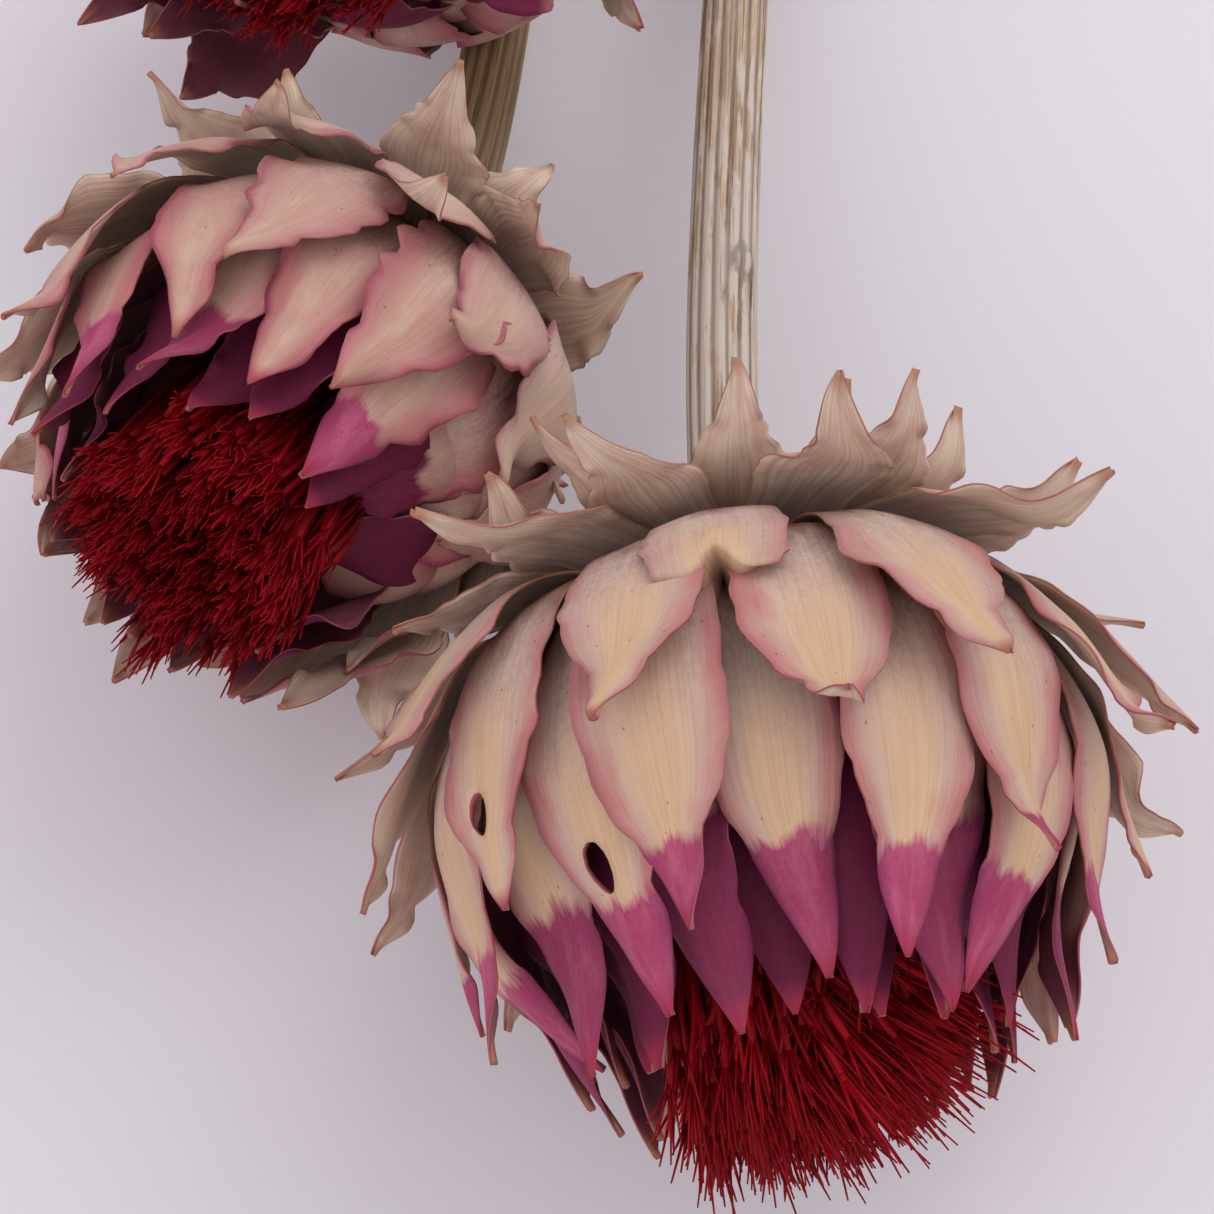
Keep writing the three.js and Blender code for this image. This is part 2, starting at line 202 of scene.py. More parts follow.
# %% Bend bracts clear of their neighbours
PLANE_GAP = 0.2
BRACT_THICKNESS = 1.2
LIFT_FROM = 0.27  # bracts above this level lie on other pressed bracts
LAYER_LIFT = 15  # so they keep this much more of a gap for each level
PRESS_STEP, PRESS_MOST = 3, 96  # degrees
STEM_SAMPLES = 60
HINGE_SHARE = 0.35  # how much of the turn is at the shoulder
REFLEXED = 0.25  # bracts below this level may also be pressed back, towards the stem


def pressing_planes(flower):
    """The planes round a head, in its own frame, as a normal and how far along it they lie."""
    planes = [(Vector(), Vector((0, 0, 1)))]
    for other in FLOWERS:
        if other is flower:
            continue
        away = flower.belly - other.belly
        spare = away.length - flower.radius - other.radius
        normal = away.normalized()
        planes.append((other.belly + normal * (other.radius + spare / 2), normal))
        stem_points = [other.stem_line(i / STEM_SAMPLES) for i in range(STEM_SAMPLES + 1)]
        near = min(stem_points, key=lambda point: (point - flower.belly).length)
        normal = (flower.belly - near).normalized()
        planes.append((near + normal * STEM_RADIUS * MM, normal))
    inverse = flower.place.inverted()
    turn = inverse.to_3x3().normalized()
    own = [(turn @ normal, inverse @ point) for point, normal in planes]
    return [(normal, normal.dot(point)) for normal, point in own]


def placed(point, azimuth, sideways=0.0):
    """A point of the head's frame from its radius and height, an azimuth and a step sideways."""
    radius, height = point
    cos, sin = math.cos(azimuth), math.sin(azimuth)
    return Vector((radius * cos - sideways * sin, radius * sin + sideways * cos, height))


def hinged(point, pivot, angle):
    """The point turned about the pivot; a positive angle closes the bract towards the mouth."""
    return pivot + Matrix.Rotation(angle, 2) @ (point - pivot)


def bent(line, angle):
    """The middle line turned beyond its shoulder, and again beyond its widest part."""
    raised = line[:2] + [hinged(point, line[1], angle * HINGE_SHARE) for point in line[2:]]
    pivot = raised[2]
    return raised[:3] + [hinged(point, pivot, angle * (1 - HINGE_SHARE)) for point in raised[3:]]


def pressed(line, widths, azimuth, planes, level):
    """The middle line with the least bend that keeps both edges clear of every plane."""
    distance = PLANE_GAP + BRACT_THICKNESS + LAYER_LIFT * max(0, level - LIFT_FROM)

    def clears(candidate):
        return all(
            normal.dot(placed(point, azimuth, side * width)) >= offset + distance
            for normal, offset in planes
            for point, width in zip(candidate, widths)
            for side in (-0.5, 0.5)
        )

    for degrees in range(0, PRESS_MOST + 1, PRESS_STEP):
        angle = math.radians(degrees)
        for way in [angle, -angle] if level < REFLEXED else [angle]:
            candidate = bent(line, way)
            if clears(candidate):
                return candidate
    return bent(line, math.radians(PRESS_MOST))


for flower in FLOWERS:
    print(flower.name, "is pressed by", len(pressing_planes(flower)), "planes")

# %% [markdown]
# ## The shape of one bract
#
# A dried bract is a tough scale, ovate below and drawn out to a narrow point. Its body wraps round the
# head, its margins are ruffled where it narrows, and its point is folded lengthwise like a boat. A flat
# grid is the right start: its two directions become across and along the bract, every bract keeps the same
# even mesh, and the grid's UV map then says where on the bract a spot is, which the finish will need.

# %% A flat grid to shape
ACROSS, ALONG = 14, 58


def flat_grid():
    """A square grid of quads with a UV map, to be shaped into a bract."""
    bm = bmesh.new()
    bm.loops.layers.uv.new("UVMap")
    bmesh.ops.create_grid(bm, x_segments=ACROSS, y_segments=ALONG, size=1, calc_uvs=True)
    mesh = bpy.data.meshes.new("flat_bract")
    bm.to_mesh(mesh)
    bm.free()
    return mesh


FLAT_BRACT = flat_grid()
print("one bract starts with", len(FLAT_BRACT.polygons), "faces")

# %% Follow a middle line smoothly
STATIONS = [0.0, 0.24, 0.5, 0.72, 1.0]  # how far along a bract its five measured points are


def station_before(along):
    return max(i for i in range(4) if along >= STATIONS[i] - 1e-9)


def slope(line, i):
    before, after = max(0, i - 1), min(4, i + 1)
    return (line[after] - line[before]) / (STATIONS[after] - STATIONS[before])


def on_line(line, along):
    """The point a share of the way along the middle line, and the way that the line runs there."""
    i = station_before(along)
    span = STATIONS[i + 1] - STATIONS[i]
    t = (along - STATIONS[i]) / span
    a, b = slope(line, i) * span, slope(line, i + 1) * span
    point = (
        line[i] * (2 * t**3 - 3 * t**2 + 1)
        + a * (t**3 - 2 * t**2 + t)
        + line[i + 1] * (3 * t**2 - 2 * t**3)
        + b * (t**3 - t**2)
    )
    run = (
        line[i] * (6 * t**2 - 6 * t)
        + a * (3 * t**2 - 4 * t + 1)
        + line[i + 1] * (6 * t - 6 * t**2)
        + b * (3 * t**2 - 2 * t)
    )
    return point, run.normalized()


def width_at(widths, along, level):
    """The bract's width. Outer ones taper evenly; others keep square shoulders above a narrow neck."""
    i = station_before(along)
    t = (along - STATIONS[i]) / (STATIONS[i + 1] - STATIONS[i])
    square = smooth(0.25, 0.4, level)
    neck, point = mix(1, 2.4, square), mix(1.1, 1.4, square)
    eases = [math.sin(t * math.pi / 2), smooth(0, 1, t), t**neck, t**point]
    return mix(widths[i], widths[i + 1], eases[i])


print("width half way along an outer bract:", round(width_at(outline_at(0.3)[1], 0.5, 0.3), 1), "mm")

# %% [markdown]
# ## No two bracts alike
#
# Drying twists and curls every bract its own way. Each one gets its own small set of chances: how far its
# point lifts, leans and twists, and where its margin ruffles. The draws come from a seeded source, so the
# bunch is the same each time that it is built.

# %% Chances for one bract
class Chances:
    """The drying of one bract."""

    def __init__(self, draw, level):
        loose = 1 - smooth(0.55, 1, level) * 0.6
        self.azimuth = draw.gauss(0, 0.04)
        self.tip_curl = math.radians(draw.gauss(4, 14)) * loose
        self.lean = draw.gauss(0, 3.4) * loose
        self.twist = math.radians(draw.gauss(0, 18)) * loose
        self.ruffle = draw.uniform(0.6, 1.5)
        self.phase = draw.uniform(0, 100)
        self.length = draw.uniform(0.95, 1.04)
        self.width = draw.uniform(0.95, 1.12)
        self.fold = draw.uniform(0.07, 0.16)
        self.chance = draw.random()
        self.notch = 0


# On the front head one bract has its tip folded back under it, and insects have holed two others.
FOLDED_TIP = [(50, 19), (54, 29), (40, 27)]
FOLDED_NECK_WIDTH = 17
NOTCH_DEPTH = 5
HOLE_CENTRE = Vector((0.25, 0.36, 0))
HOLE_ACROSS, HOLE_ALONG = 0.27, 0.085
THIN_MARGIN, THIN_TIP = 0.22, 0.7  # of the flesh that a bract has along its middle
OTHER_MARGIN = 3.1  # moves the noise along, so that a bract's two margins differ
SCALLOP, LOBE = 0.042, 0.026  # of the width, for each millimetre of ruffle
BUCKLE = 0.8
SPECIAL = {("front", 30): "folded", ("front", 46): "holed", ("front", 59): "holed"}


def grow_bract(bm, flower, planes, index, draw):
    """Adds one shaped bract to a row's mesh, with the attributes that its finish reads."""
    level = mix(flower.first, 1, index / (flower.rows * BRACTS_PER_ROW - 1))
    dry = Chances(draw, level)
    special = SPECIAL.get((flower.name, index))
    line, widths = outline_at(level)
    azimuth = flower.roll + index * GOLDEN_ANGLE + dry.azimuth
    line = [line[0]] + [mix(line[0], point, dry.length) for point in line[1:]]
    if special == "folded":
        line[2:] = [Vector(point) for point in FOLDED_TIP]
        widths[3] = FOLDED_NECK_WIDTH
        dry.lean = dry.twist = dry.tip_curl = 0
        dry.notch = NOTCH_DEPTH
    line = pressed(line, widths, azimuth, planes, level)
    line[4] = hinged(line[4], line[3], -dry.tip_curl)
    widths = [width * dry.width * flower.breadth for width in widths[:4]] + widths[4:]
    ripeness = level - flower.unripe * (1 - smooth(0.72, 0.88, level))
    traits = bm.verts.layers.float_vector["traits"]
    thin = bm.verts.layers.deform.verify()
    grown = set(bm.verts)
    bm.from_mesh(FLAT_BRACT)
    fresh = [vert for vert in bm.verts if vert not in grown]
    if special == "holed":
        fresh = bore_hole(bm, fresh, HOLE_CENTRE)
    for vert in fresh:
        across, along = vert.co.x, (vert.co.y + 1) / 2
        vert.co = shaped(flower, line, widths, azimuth, dry, across, along, level)
        vert[traits] = (ripeness, flower.blush, dry.chance)
        edge = smooth(0.2, 1, abs(across))
        vert[thin][0] = mix(1, THIN_MARGIN, edge) * mix(1, THIN_TIP, smooth(0.6, 1, along))


def bore_hole(bm, verts, centre):
    """Takes out the faces round a point of the flat grid and rounds the hole. Returns the verts left."""

    def offset(spot):
        return Vector(((spot.x - centre.x) / HOLE_ACROSS, (spot.y - centre.y) / HOLE_ALONG, 0))

    faces = {face for vert in verts for face in vert.link_faces}
    hole = [face for face in faces if offset(face.calc_center_median()).length < 1]
    rim = {vert for face in hole for vert in face.verts}
    bmesh.ops.delete(bm, geom=hole, context="FACES")
    for vert in rim:
        if vert.is_valid:
            away = offset(vert.co).normalized()
            vert.co = centre + Vector((away.x * HOLE_ACROSS, away.y * HOLE_ALONG, 0))
    return [vert for vert in verts if vert.is_valid]


def shaped(flower, line, widths, azimuth, dry, across, along, level):
    """Where one grid corner goes: across is -1 to 1 and along is 0 at the base to 1 at the tip."""
    point, run = on_line(line, along)
    outward = Vector((run.y, -run.x))
    neck = smooth(0.3, 0.55, along) * (1 - smooth(0.72, 0.84, along))
    margin = abs(across) ** 3
    side = OTHER_MARGIN if across > 0 else 0.0
    wave = noise.noise(Vector((dry.phase + side, along * 9, 0.5)))
    scallop = noise.noise(Vector((dry.phase + side, along * 19, 7.5)))
    lobes = abs(math.sin(along * 34 + dry.phase + side + 2 * wave)) - 0.6
    frill = neck * margin * flower.ruffle * (SCALLOP * scallop + LOBE * lobes)
    width = width_at(widths, along, level) * (1 + frill)
    reach = across * width / 2
    hug = 0.5 / max(point.x, 24)
    fold = mix(hug, dry.fold, smooth(0.66, 0.85, along))
    depth = -fold * reach * reach
    depth += dry.ruffle * flower.ruffle * neck * margin * (wave + 0.1)
    depth += BUCKLE * noise.noise(Vector((dry.phase, across * 0.9, along * 3)))
    twist = dry.twist * smooth(0.55, 1, along)
    reach, depth = (
        reach * math.cos(twist) - depth * math.sin(twist),
        reach * math.sin(twist) + depth * math.cos(twist),
    )
    reach += dry.lean * smooth(0.6, 1, along)
    moved = point + outward * depth
    moved.y -= dry.notch * math.exp(-((across / 0.3) ** 2)) * smooth(0.45, 0.7, along)
    world = flower.place @ placed(moved, azimuth, reach)
    world.z = max(world.z, OFF_TABLE)
    return world


print("a bract is", ACROSS, "by", ALONG, "faces before it is thickened")

# %% [markdown]
# ## Colours and fibres of the bracts
#
# The outer face is beige with an ochre streak, pink towards the margins and powdery with bloom. It is
# scorched brown at the base. The inner bracts turn a hard-edged magenta at the point, which darkens to plum
# on the innermost ones. The inner face is striped by its fibres, and dark plum on the innermost bracts.
# That plum is partly their own colour and partly painted shade of the cup round the florets. Each finish
# reads the UV map for across and along, and the attribute called traits for the bract's level, blush and
# chance.
# A small helper keeps each node to one line.

# %% A helper for node trees
class Nodes:
    """Adds shader nodes to a material and links them, one call each."""

    def __init__(self, name):
        self.material = bpy.data.materials.new(name)
        self.material.use_nodes = True
        self.tree = self.material.node_tree
        self.shader = self.tree.nodes["Principled BSDF"]

    def add(self, kind, inputs=None, **settings):
        node = self.tree.nodes.new("ShaderNode" + kind)
        for key, value in settings.items():
            setattr(node, key, value)
        for key, value in (inputs or {}).items():
            self.feed(node.inputs[key], value)
        return node

    def feed(self, socket, value):
        if isinstance(value, bpy.types.NodeSocket):
            self.tree.links.new(value, socket)
        else:
            socket.default_value = value

    def math(self, operation, a, b=0.0, c=0.0, clamp=False):
        node = self.add("Math", operation=operation, use_clamp=clamp)
        for socket, value in zip(node.inputs, (a, b, c)):
            self.feed(socket, value)
        return node.outputs[0]

    def ramp(self, value, low, high, out_low=0.0, out_high=1.0):
        """value from low to high, eased into out_low to out_high."""
        inputs = {"Value": value, "From Min": low, "From Max": high, "To Min": out_low, "To Max": out_high}
        return self.add("MapRange", inputs, interpolation_type="SMOOTHSTEP").outputs[0]

    def blend(self, share, a, b, blend_type="MIX"):
        node = self.add("Mix", data_type="RGBA", blend_type=blend_type, clamp_factor=True)
        self.feed(node.inputs["Factor"], share)
        for socket, value in zip([s for s in node.inputs if s.type == "RGBA"], (a, b)):
            self.feed(socket, value)
        return [s for s in node.outputs if s.type == "RGBA"][0]

    def vector(self, x, y, z=0.0):
        return self.add("CombineXYZ", {"X": x, "Y": y, "Z": z}).outputs[0]

    def grain(self, vector, scale, detail=3.0, roughness=0.55):
        inputs = {"Vector": vector, "Scale": scale, "Detail": detail, "Roughness": roughness}
        return self.add("TexNoise", inputs).outputs["Fac"]

    def bump(self, height, strength, distance):
        inputs = {"Height": height, "Strength": strength, "Distance": distance}
        self.tree.links.new(self.add("Bump", inputs).outputs[0], self.shader.inputs["Normal"])


def bract_coordinates(n):
    """The sockets for across (0 to 1), along, distance from the middle, and the bract's traits."""
    uv = n.add("SeparateXYZ", {"Vector": n.add("UVMap", uv_map="UVMap").outputs[0]})
    traits = n.add("Attribute", attribute_name="traits").outputs["Vector"]
    level, blush, chance = n.add("SeparateXYZ", {"Vector": traits}).outputs
    across, along = uv.outputs[0], uv.outputs[1]
    edge = n.math("MULTIPLY", n.math("ABSOLUTE", n.math("SUBTRACT", across, 0.5)), 2.0)
    return across, along, edge, level, blush, chance


print("node helper ready")

# %% Outer face of the bracts
BEIGE = (0.57, 0.42, 0.325, 1)
BEIGE_DARK = (0.45, 0.335, 0.275, 1)
OCHRE = (0.63, 0.39, 0.21, 1)
PINK = (0.49, 0.245, 0.225, 1)
BLOOM = (0.62, 0.53, 0.49, 1)
ROSE = (0.44, 0.14, 0.14, 1)
CERISE = (0.33, 0.055, 0.1, 1)
MAGENTA = (0.36, 0.045, 0.12, 1)
ORCHID = (0.44, 0.09, 0.17, 1)
PLUM_WITH_PAINTED_SHADE = (0.14, 0.008, 0.042, 1)
TIP_RED = (0.32, 0.022, 0.055, 1)
SCORCH = (0.17, 0.055, 0.024, 1)
TIP_BROWN = (0.36, 0.14, 0.065, 1)


def outer_face():
    n = Nodes("bract_outer_face")
    across, along, edge, level, blush, chance = bract_coordinates(n)
    offset = n.math("MULTIPLY", chance, 37.0)
    patch = n.grain(n.vector(n.math("MULTIPLY", across, 1.6), n.math("MULTIPLY", along, 3.0), offset), 2.2)
    fibre = n.grain(n.vector(n.math("MULTIPLY", across, 34.0), n.math("MULTIPLY", along, 2.2), offset), 1.6)
    speckle_place = n.vector(n.math("MULTIPLY", across, 14.0), n.math("MULTIPLY", along, 40.0), offset)
    speckle = n.grain(speckle_place, 2.0)
    ripened = n.math("MULTIPLY", n.ramp(patch, 0.35, 0.65, 0.3, 1.0), n.ramp(along, 0.28, 0.5, 0.35, 1.0))
    colour = n.blend(ripened, BEIGE_DARK, BEIGE)
    blushed = n.math("MULTIPLY", blush, n.ramp(patch, 0.68, 0.4, 0.35, 1.0))
    colour = n.blend(n.math("MULTIPLY", blushed, n.ramp(level, 0.15, 0.4)), colour, PINK)
    middle = n.math("SUBTRACT", 1.0, n.ramp(edge, 0.15, 0.8))
    streak = n.math("MULTIPLY", middle, n.ramp(along, 0.38, 0.62))
    colour = n.blend(n.math("MULTIPLY", streak, n.ramp(blush, 0.2, 0.9, 0.68, 0.2)), colour, OCHRE)
    bloom = n.math("MULTIPLY", n.ramp(speckle, 0.42, 0.62), n.ramp(along, 0.7, 0.25))
    colour = n.blend(n.math("MULTIPLY", bloom, 0.55), colour, BLOOM)
    # Pink creeps in from the margins, further on a head with more blush.
    creep = n.math("ADD", edge, n.math("MULTIPLY", n.math("SUBTRACT", patch, 0.5), 1.1))
    creep = n.math("ADD", creep, n.math("MULTIPLY", blush, 0.25))
    pink = n.math("MULTIPLY", n.ramp(creep, 0.5, 1.05), n.ramp(along, 0.2, 0.5))
    colour = n.blend(n.math("MULTIPLY", pink, n.ramp(level, 0.2, 0.5, 0.2, 0.85)), colour, ROSE)
    # A thin cerise line follows the margin of a well-blushed bract, here and there.
    rim = n.math("MULTIPLY", n.math("MULTIPLY", blush, n.ramp(edge, 0.74, 1.0)), n.ramp(patch, 0.35, 0.6))
    colour = n.blend(rim, colour, CERISE)
    # The point of an inner bract is magenta behind a crisp, uneven line.
    ripe = n.ramp(level, 0.48, 0.56)
    start = n.math("SUBTRACT", 1.1, n.math("MULTIPLY", ripe, n.ramp(level, 0.66, 1.0, 0.37, 0.8)))
    start = n.math("SUBTRACT", start, n.math("MULTIPLY", n.math("SUBTRACT", fibre, 0.5), 0.02))
    start = n.math("SUBTRACT", start, n.math("MULTIPLY", n.math("SUBTRACT", patch, 0.5), 0.12))
    point = n.math("MULTIPLY", n.math("SUBTRACT", along, start), 40.0, clamp=True)
    deep = n.blend(n.ramp(patch, 0.4, 0.7), MAGENTA, ORCHID)
    deep = n.blend(n.ramp(edge, 0.5, 1.0, 0.0, 0.5), deep, (0.24, 0.03, 0.11, 1))
    deep = n.blend(n.ramp(speckle, 0.5, 0.7, 0.0, 0.35), deep, TIP_RED)
    # The points of the innermost bracts turn dark plum: partly their own colour, partly painted shade of
    # the cup round the florets.
    deep = n.blend(n.ramp(level, 0.66, 0.86), deep, PLUM_WITH_PAINTED_SHADE)
    colour = n.blend(point, colour, deep)
    end = n.math("MULTIPLY", n.ramp(along, 0.9, 0.99), 0.85)
    colour = n.blend(end, colour, n.blend(n.ramp(level, 0.35, 0.5), TIP_BROWN, TIP_RED))
    base = n.math("ADD", along, n.math("MULTIPLY", n.math("SUBTRACT", patch, 0.5), 0.3))
    scorched = n.math("MULTIPLY", n.ramp(base, 0.42, 0.22), n.ramp(level, 0.2, 0.42, 0.5, 0.95))
    colour = n.blend(scorched, colour, SCORCH)
    colour = n.blend(n.ramp(fibre, 0.4, 0.75, 0.0, 0.3), colour, (0.6, 0.47, 0.4, 1), "MULTIPLY")
    fleck_place = n.vector(across, n.math("MULTIPLY", along, 3.4), offset)
    fleck = n.add("TexVoronoi", {"Vector": fleck_place, "Scale": 7.0})
    dots = n.ramp(fleck.outputs["Distance"], 0.075, 0.04)
    colour = n.blend(n.math("MULTIPLY", dots, 0.7), colour, (0.07, 0.035, 0.02, 1))
    n.feed(n.shader.inputs["Base Color"], colour)
    n.feed(n.shader.inputs["Roughness"], n.ramp(speckle, 0.3, 0.7, 0.62, 0.82))
    n.shader.inputs["Specular IOR Level"].default_value = 0.3
    relief = n.math("ADD", n.math("MULTIPLY", fibre, 0.7), n.math("MULTIPLY", speckle, 0.3))
    n.bump(relief, 0.25, 0.0005)
    return n.material


def inner_face():
    n = Nodes("bract_inner_face")
    across, along, edge, level, blush, chance = bract_coordinates(n)
    offset = n.math("MULTIPLY", chance, 23.0)
    stripe_place = n.vector(n.math("MULTIPLY", across, 24.0), n.math("MULTIPLY", along, 1.2), offset)
    stripe = n.grain(stripe_place, 1.3)
    patch = n.grain(n.vector(across, n.math("MULTIPLY", along, 2.0), offset), 2.5)
    colour = n.blend(n.ramp(stripe, 0.35, 0.65), (0.52, 0.385, 0.285, 1), (0.66, 0.51, 0.395, 1))
    colour = n.blend(n.ramp(patch, 0.4, 0.75, 0.0, 0.5), colour, (0.36, 0.17, 0.13, 1))
    # The inner face turns dark plum towards the point, and all over on the innermost bracts: partly their
    # own colour, partly painted shade of the cup round the florets.
    reach = n.math("MAXIMUM", n.ramp(along, 0.6, 0.8), n.ramp(level, 0.55, 0.7))
    ripe = n.math("MULTIPLY", n.ramp(level, 0.5, 0.65), reach)
    colour = n.blend(n.math("MULTIPLY", ripe, 0.92), colour, (0.15, 0.012, 0.045, 1))
    colour = n.blend(n.ramp(along, 0.9, 0.99, 0.0, 0.8), colour, TIP_BROWN)
    n.feed(n.shader.inputs["Base Color"], colour)
    n.feed(n.shader.inputs["Roughness"], n.ramp(stripe, 0.3, 0.7, 0.5, 0.75))
    n.shader.inputs["Specular IOR Level"].default_value = 0.4
    n.bump(stripe, 0.3, 0.0005)
    return n.material


def margin():
    n = Nodes("bract_margin")
    across, along, edge, level, blush, chance = bract_coordinates(n)
    tone = n.grain(n.vector(n.math("MULTIPLY", along, 9.0), across, n.math("MULTIPLY", chance, 9.0)), 1.5)
    colour = n.blend(n.ramp(tone, 0.35, 0.65), (0.32, 0.13, 0.06, 1), (0.4, 0.24, 0.15, 1))
    rosy = n.math("MULTIPLY", n.ramp(along, 0.3, 0.7), n.ramp(level, 0.1, 0.5, 0.3, 1.0))
    colour = n.blend(rosy, colour, (0.34, 0.07, 0.08, 1))
    n.feed(n.shader.inputs["Base Color"], colour)
    n.shader.inputs["Roughness"].default_value = 0.6
    return n.material


BRACT_FINISHES = [outer_face(), inner_face(), margin()]
print("bract finishes:", [m.name for m in BRACT_FINISHES])

# %% [markdown]
# ## Rows of bracts
#
# Thirteen bracts make one turn of the spiral, and one row of the CAD model. They share a mesh, so a row is
# one piece that stands for one CAD row. Solidify gives each bract its flesh, thick along the middle and
# thin at the margin by a vertex group, and puts the inner face and the margin in their own finishes. The
# grid is already fine enough for the scallops of the margin, so it isn't subdivided.

# %% Grow the rows
FLESH = 1.3  # how thick a bract is along its middle


def bract_row(flower, row, planes):
    draw = random.Random(flower.seed * 100 + row)
    bm = bmesh.new()
    bm.verts.layers.float_vector.new("traits")
    bm.loops.layers.uv.new("UVMap")
    for index in range(row * BRACTS_PER_ROW, (row + 1) * BRACTS_PER_ROW):
        grow_bract(bm, flower, planes, index, draw)
    for face in bm.faces:
        face.smooth = True
    mesh = bpy.data.meshes.new(f"{flower.name}_bracts_{row + 1}")
    bm.to_mesh(mesh)
    bm.free()
    piece = bpy.data.objects.new(mesh.name, mesh)
    bpy.context.scene.collection.objects.link(piece)
    group = piece.vertex_groups.new(name="flesh")
    for material in BRACT_FINISHES:
        mesh.materials.append(material)
    flesh = piece.modifiers.new("flesh", "SOLIDIFY")
    flesh.thickness = FLESH * flower.size * MM
    flesh.offset = -1
    flesh.vertex_group = group.name
    flesh.thickness_vertex_group = 0.1
    flesh.material_offset = 1
    flesh.material_offset_rim = 2
    return piece


def keep(piece, node):
    """Hands a finished piece to the frame: what it rides on and what it replaces."""
    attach(piece, ROOT)
    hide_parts(node)


for flower in FLOWERS:
    planes = pressing_planes(flower)
    for row in range(flower.rows):
        piece = bract_row(flower, row, planes)
        keep(piece, f"{flower.name}_bract_row_{row + 1}")
    print(flower.name, "has", flower.rows, "rows of bracts")

# %% [markdown]
# ## Florets
#
# Hundreds of thread-like florets stand on the heart, squeezed together at the mouth and fanned beyond it.
# Each ends in fine teeth. One straight floret is made first: a flattened ring of five corners, extruded
# step by step, with three teeth at its end. Copies of it are then bent along their own curves. There are
# hundreds, so one floret has only a few dozen faces.

# %% One straight floret
FLORET_STEPS = 8
FLORET_RADIUS = 0.74
TEETH_FROM = 0.87  # how far along a floret its teeth part
TEETH = ((-1, 1.5, 0.1), (0.1, 0.4, 0.13), (1, 1.9, 0.08))  # the side, spread and length of each


def straight_floret():
    """A flattened floret along +Z from 0 to 1, with its thickness in millimetres in X and Y."""
    bm = bmesh.new()
    ring = bmesh.ops.create_circle(bm, cap_ends=True, segments=5, radius=FLORET_RADIUS)["verts"]
    bmesh.ops.scale(bm, verts=ring, vec=(1, 0.42, 1))
    top = bm.faces[:]
    for step in range(FLORET_STEPS):
        grown = bmesh.ops.extrude_face_region(bm, geom=top)["geom"]
        if step:
            bmesh.ops.delete(bm, geom=top, context="FACES_ONLY")
        top = [part for part in grown if isinstance(part, bmesh.types.BMFace)]
        ring = [part for part in grown if isinstance(part, bmesh.types.BMVert)]
        bmesh.ops.translate(bm, verts=ring, vec=(0, 0, TEETH_FROM / FLORET_STEPS))
    for side, reach, length in TEETH:
        cone = {"segments": 3, "radius1": 0.4, "radius2": 0.16, "depth": length}
        for vert in bmesh.ops.create_cone(bm, cap_ends=True, **cone)["verts"]:
            share = vert.co.z / length + 0.5
            vert.co.x += side * (0.25 + reach * share)
            vert.co.z = TEETH_FROM - 0.01 + share * length
    bmesh.ops.recalc_face_normals(bm, faces=bm.faces[:])
    mesh = bpy.data.meshes.new("straight_floret")
    bm.to_mesh(mesh)
    bm.free()
    return mesh


STRAIGHT_FLORET = straight_floret()
print("one floret has", len(STRAIGHT_FLORET.polygons), "faces")

# %% Finish of the florets
CRIMSON = (0.23, 0.0006, 0.004, 1)
CRIMSON_SHADE = (0.08, 0.0004, 0.002, 1)
CRIMSON_LIGHT = (0.42, 0.003, 0.012, 1)


def floret_finish():
    n = Nodes("floret_crimson")
    thread = n.add("Attribute", attribute_name="thread").outputs["Vector"]
    along, tone, depth = n.add("SeparateXYZ", {"Vector": thread}).outputs
    # Painted shade: each floret darkens towards its root, deep in the tuft.
    colour = n.blend(n.ramp(along, 0.45, 0.95), CRIMSON_SHADE, CRIMSON)
    colour = n.blend(n.math("MULTIPLY", n.ramp(tone, 0.5, 1.0), 0.7), colour, CRIMSON_LIGHT)
    # Painted shade: florets near the middle of the tuft are darker, in the shade of its hollow.
    colour = n.blend(n.ramp(depth, 0.35, 0.0), colour, CRIMSON_SHADE)
    n.feed(n.shader.inputs["Base Color"], colour)
    n.shader.inputs["Roughness"].default_value = 0.55
    n.shader.inputs["Specular IOR Level"].default_value = 0.12
    return n.material


FLORET_FINISH = floret_finish()
print("floret finish:", FLORET_FINISH.name)

# %% [markdown]
# ## The tuft
#
# Each floret's curve has four control points: its root on the heart, a point that rises straight, one at
# the mouth, and its tip. Neighbours share a lean and a tone, so they lie in clumps as dried ones do, and
# each sways a little along its length. On the front head half of them have fallen over to one side.

# %% Bend the florets into a tuft
noise.seed_set(7)  # or the clock would seed noise_vector, and each run would bend the florets its own way
HEART_TOP = 26
ROOT_RADIUS, RISE_RADIUS = 21, 24
RISE_SHARE, MOUTH_SHARE = 0.36, 0.68  # how far up the tuft the middle two control points are
SWAY = 4.2
FALLEN_RISE = 47  # how high a fallen floret rises before it bends to the mouth
FALLEN_MOUTH = Vector((-15, 0, 67))
FALLEN_HEADINGS = (2, 94)  # degrees from one side of the head towards where it points
FALLEN_LAYERS = (17, -6)  # the top and bottom of the fallen florets, from the head's axis
FALLEN_REACH = (38, 45)


